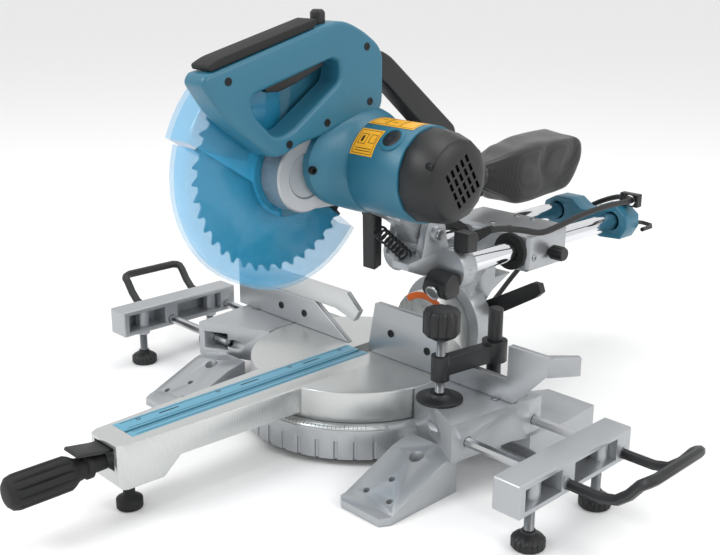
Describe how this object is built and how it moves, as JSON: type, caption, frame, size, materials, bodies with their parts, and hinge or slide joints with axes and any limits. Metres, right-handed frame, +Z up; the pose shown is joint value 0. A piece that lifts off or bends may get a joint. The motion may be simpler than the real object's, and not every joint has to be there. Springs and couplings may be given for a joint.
{
  "type": "sliding mitre saw",
  "caption": "Sliding compound mitre saw with twin rails, guarded blade, turntable, fences, work clamp, dust bag and pull-out table wings",
  "frame": {"origin": "mitre axis on the bench, at the underside of the base's centre pad", "axes": "+Z up, +Y from the operator to the rails, +X to the operator's right, saw at zero mitre and bevel with its head up"},
  "size_m": [0.8506, 0.9096, 0.478],
  "materials": {
    "teal_housing": "smooth moulded blue-green plastic",
    "clear_guard": "transparent blue polycarbonate",
    "kerf_plastic": "pale blue plastic",
    "black_plastic": "fine texture black plastic",
    "black_rubber": "soft black rubber",
    "black_coated": "black powder coated metal",
    "cast_silver": "silver painted casting",
    "machined_table": "machined and brushed",
    "chromed_steel": "polished",
    "plain_steel": "ground steel",
    "lamp_glass": "clear lens",
    "bag_fabric": "black woven cloth",
    "copper_winding": "wound rotor"
  },
  "bodies": {
    "root": {"base_casting": "cast_silver", "mitre_scale": "machined_table", "fence_left": "cast_silver", "fence_right": "cast_silver", "lead_coil": "black_rubber", "lead_plug": "black_plastic"},
    "sub_fence": {"sub_fence": "machined_table"},
    "clamp_post": {"clamp_post": "black_coated"},
    "clamp_arm": {"clamp_arm": "black_coated"},
    "clamp_spindle": {"clamp_spindle": "black_plastic", "clamp_pad": "black_plastic"},
    "wing_left": {"wing_left": "cast_silver", "wing_rod_left": "chromed_steel"},
    "wing_right": {"wing_right": "cast_silver", "wing_rod_right": "chromed_steel"},
    "wing_foot_left_front": {"wing_foot_left_front": "black_rubber"},
    "wing_foot_left_rear": {"wing_foot_left_rear": "black_rubber"},
    "wing_foot_right_front": {"wing_foot_right_front": "black_rubber"},
    "wing_foot_right_rear": {"wing_foot_right_rear": "black_rubber"},
    "turntable": {"turntable": "machined_table", "kerf_board_left": "kerf_plastic", "kerf_board_right": "kerf_plastic", "turntable_pivot": "plain_steel", "bevel_shaft": "plain_steel"},
    "arm_foot": {"arm_foot": "black_rubber"},
    "mitre_grip": {"mitre_grip": "black_plastic"},
    "mitre_latch": {"mitre_latch": "black_plastic"},
    "tilting_arm": {"saw_arm": "cast_silver", "rail_seal_near": "black_rubber", "rail_seal_far": "black_rubber"},
    "bevel_lever": {"bevel_lever": "black_plastic"},
    "slide_lock": {"slide_lock_knob": "black_plastic"},
    "carriage": {"rail_near": "chromed_steel", "rail_far": "chromed_steel", "carriage": "cast_silver", "rear_bracket": "teal_housing", "cord_hook": "black_plastic", "pivot_shaft": "plain_steel", "lamp_housing": "black_plastic", "lamp_lens": "lamp_glass", "return_spring": "plain_steel", "cord_gland": "black_plastic", "cord_clip": "black_plastic", "lead": "black_rubber"},
    "head": {"gear_case": "cast_silver", "upper_guard": "teal_housing", "motor_housing": "teal_housing", "motor_cap": "black_plastic", "handle_housing": "teal_housing", "soft_grip": "black_rubber", "carry_handle": "black_plastic", "dust_chute": "black_plastic", "dust_port": "black_plastic", "dust_bag": "bag_fabric"},
    "lower_guard": {"lower_guard": "clear_guard"},
    "blade": {"blade": "plain_steel", "arbor": "plain_steel"},
    "armature": {"armature": "copper_winding"},
    "trigger": {"trigger": "black_plastic"},
    "lock_button": {"lock_button": "black_plastic"}
  },
  "joints": [
    {"name": "sub_fence_slide", "type": "slide", "parent": "root", "child": "sub_fence", "axis": [-1, 0, 0], "range_m": [0, 0.03]},
    {"name": "clamp_post_turn", "type": "hinge", "parent": "root", "child": "clamp_post", "pos_m": [0.17, 0.042, 0.1], "axis": [0, 0, 1], "range_deg": [-20, 20]},
    {"name": "clamp_arm_slide", "type": "slide", "parent": "clamp_post", "child": "clamp_arm", "axis": [0, 0, -1], "range_m": [-0.035, 0]},
    {"name": "clamp_spindle_travel", "type": "slide", "parent": "clamp_arm", "child": "clamp_spindle", "axis": [0, 0, -1], "range_m": [-0.01, 0]},
    {"name": "wing_left_slide", "type": "slide", "parent": "root", "child": "wing_left", "axis": [-1, 0, 0], "range_m": [-0.055, 0.03]},
    {"name": "wing_right_slide", "type": "slide", "parent": "root", "child": "wing_right", "axis": [-1, 0, 0], "range_m": [-0.03, 0.055]},
    {"name": "wing_foot_left_front_screw", "type": "slide", "parent": "wing_left", "child": "wing_foot_left_front", "axis": [0, 0, -1], "range_m": [0, 0.006]},
    {"name": "wing_foot_left_rear_screw", "type": "slide", "parent": "wing_left", "child": "wing_foot_left_rear", "axis": [0, 0, -1], "range_m": [0, 0.006]},
    {"name": "wing_foot_right_front_screw", "type": "slide", "parent": "wing_right", "child": "wing_foot_right_front", "axis": [0, 0, -1], "range_m": [0, 0.006]},
    {"name": "wing_foot_right_rear_screw", "type": "slide", "parent": "wing_right", "child": "wing_foot_right_rear", "axis": [0, 0, -1], "range_m": [0, 0.006]},
    {"name": "mitre_turn", "type": "hinge", "parent": "root", "child": "turntable", "pos_m": [0, 0, 0.0813], "axis": [0, 0, 1], "range_deg": [-50, 50]},
    {"name": "arm_foot_screw", "type": "slide", "parent": "turntable", "child": "arm_foot", "axis": [0, 0, -1], "range_m": [0, 0.006]},
    {"name": "mitre_lock_turn", "type": "hinge", "parent": "turntable", "child": "mitre_grip", "pos_m": [0, -0.341, 0.06], "axis": [0, -1, 0], "range_deg": [0, 90]},
    {"name": "mitre_latch_press", "type": "hinge", "parent": "turntable", "child": "mitre_latch", "pos_m": [0, -0.331, 0.0735], "axis": [1, 0, 0], "range_deg": [0, 4], "stiffness_Nm_per_rad": 1, "springref_deg": -5.73},
    {"name": "bevel_tilt", "type": "hinge", "parent": "turntable", "child": "tilting_arm", "pos_m": [0, 0.16, 0.0813], "axis": [0, 1, 0], "range_deg": [-45, 3]},
    {"name": "bevel_lever_turn", "type": "hinge", "parent": "tilting_arm", "child": "bevel_lever", "pos_m": [0, 0.188, 0.0813], "axis": [0, 1, 0], "range_deg": [0, 25]},
    {"name": "slide_lock_turn", "type": "hinge", "parent": "tilting_arm", "child": "slide_lock", "pos_m": [0.104, 0.228, 0.181], "axis": [1, 0, 0], "range_deg": [0, 270]},
    {"name": "carriage_slide", "type": "slide", "parent": "tilting_arm", "child": "carriage", "axis": [0, -1, 0], "range_m": [-0.087, 0.11], "deforming": ["lead"]},
    {"name": "head_swing", "type": "hinge", "parent": "carriage", "child": "head", "pos_m": [0.037, 0.062, 0.226], "axis": [1, 0, 0], "range_deg": [0, 38.5], "stiffness_Nm_per_rad": 15, "springref_deg": -80.21, "deforming": ["return_spring"]},
    {"name": "lower_guard_turn", "type": "hinge", "parent": "head", "child": "lower_guard", "pos_m": [0, -0.117, 0.3145], "axis": [1, 0, 0], "range_deg": [-165.1, 0]},
    {"name": "blade_spin", "type": "hinge", "parent": "head", "child": "blade", "pos_m": [0, -0.117, 0.3145], "axis": [1, 0, 0], "continuous": true},
    {"name": "armature_spin", "type": "hinge", "parent": "head", "child": "armature", "pos_m": [0.1, -0.035, 0.318], "axis": [1, 0, 0], "continuous": true},
    {"name": "trigger_press", "type": "hinge", "parent": "head", "child": "trigger", "pos_m": [0.042, -0.095, 0.428], "axis": [-1, 0, 0], "range_deg": [0, 7], "stiffness_Nm_per_rad": 0.8, "springref_deg": -5.73},
    {"name": "lock_button_press", "type": "slide", "parent": "head", "child": "lock_button", "axis": [0, 0, -1], "range_m": [0, 0.004], "stiffness_N_per_m": 300, "springref_m": -0.003}
  ],
  "couplings": [
    {"joint": "lower_guard_turn", "follows": "head_swing", "ratio": -4.2857},
    {"joint": "armature_spin", "follows": "blade_spin", "ratio": -5}
  ]
}
